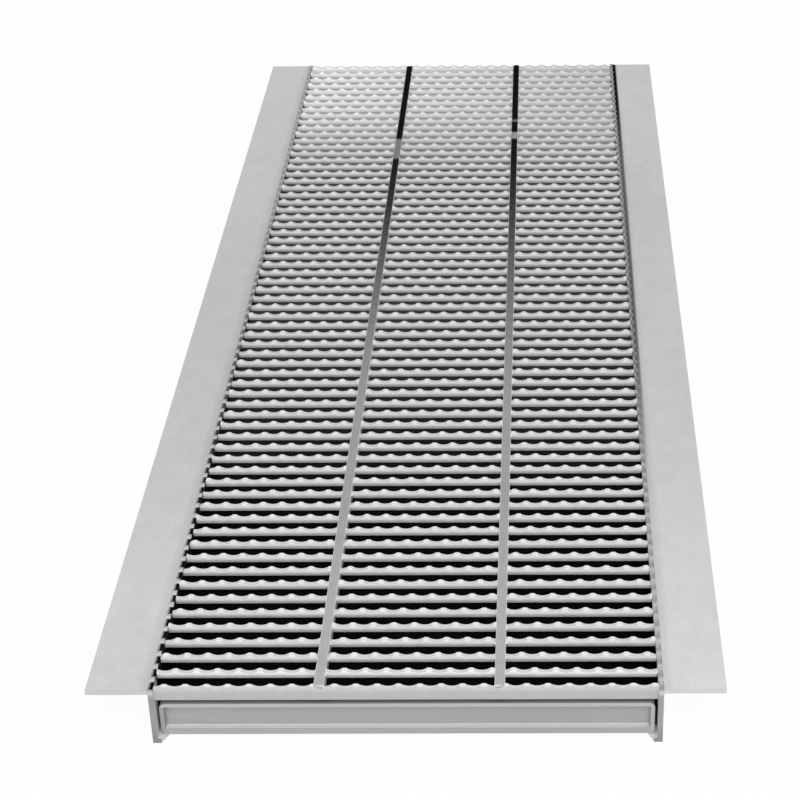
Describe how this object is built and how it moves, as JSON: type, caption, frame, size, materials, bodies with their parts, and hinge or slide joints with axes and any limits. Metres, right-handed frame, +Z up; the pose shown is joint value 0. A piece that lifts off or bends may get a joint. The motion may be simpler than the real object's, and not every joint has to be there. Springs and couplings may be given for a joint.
{
  "type": "steel grating panel",
  "caption": "Long flanged trench grating: serrated cross bars welded between flanged steel rails with shallow end trays.",
  "frame": {"origin": "middle of the footprint, level with the undersides of the rails", "axes": "+X across the panel to the right, +Y along the panel to the back, +Z up"},
  "size_m": [0.375, 1, 0.04],
  "materials": {
    "rail_steel": "satin sheet steel",
    "bar_steel": "bright serrated bar",
    "tray_steel": "satin sheet steel"
  },
  "bodies": {
    "root": {"rail_left": "rail_steel", "rail_right": "rail_steel", "grating": "bar_steel", "end_tray_front": "tray_steel", "end_tray_back": "tray_steel"}
  },
  "joints": []
}
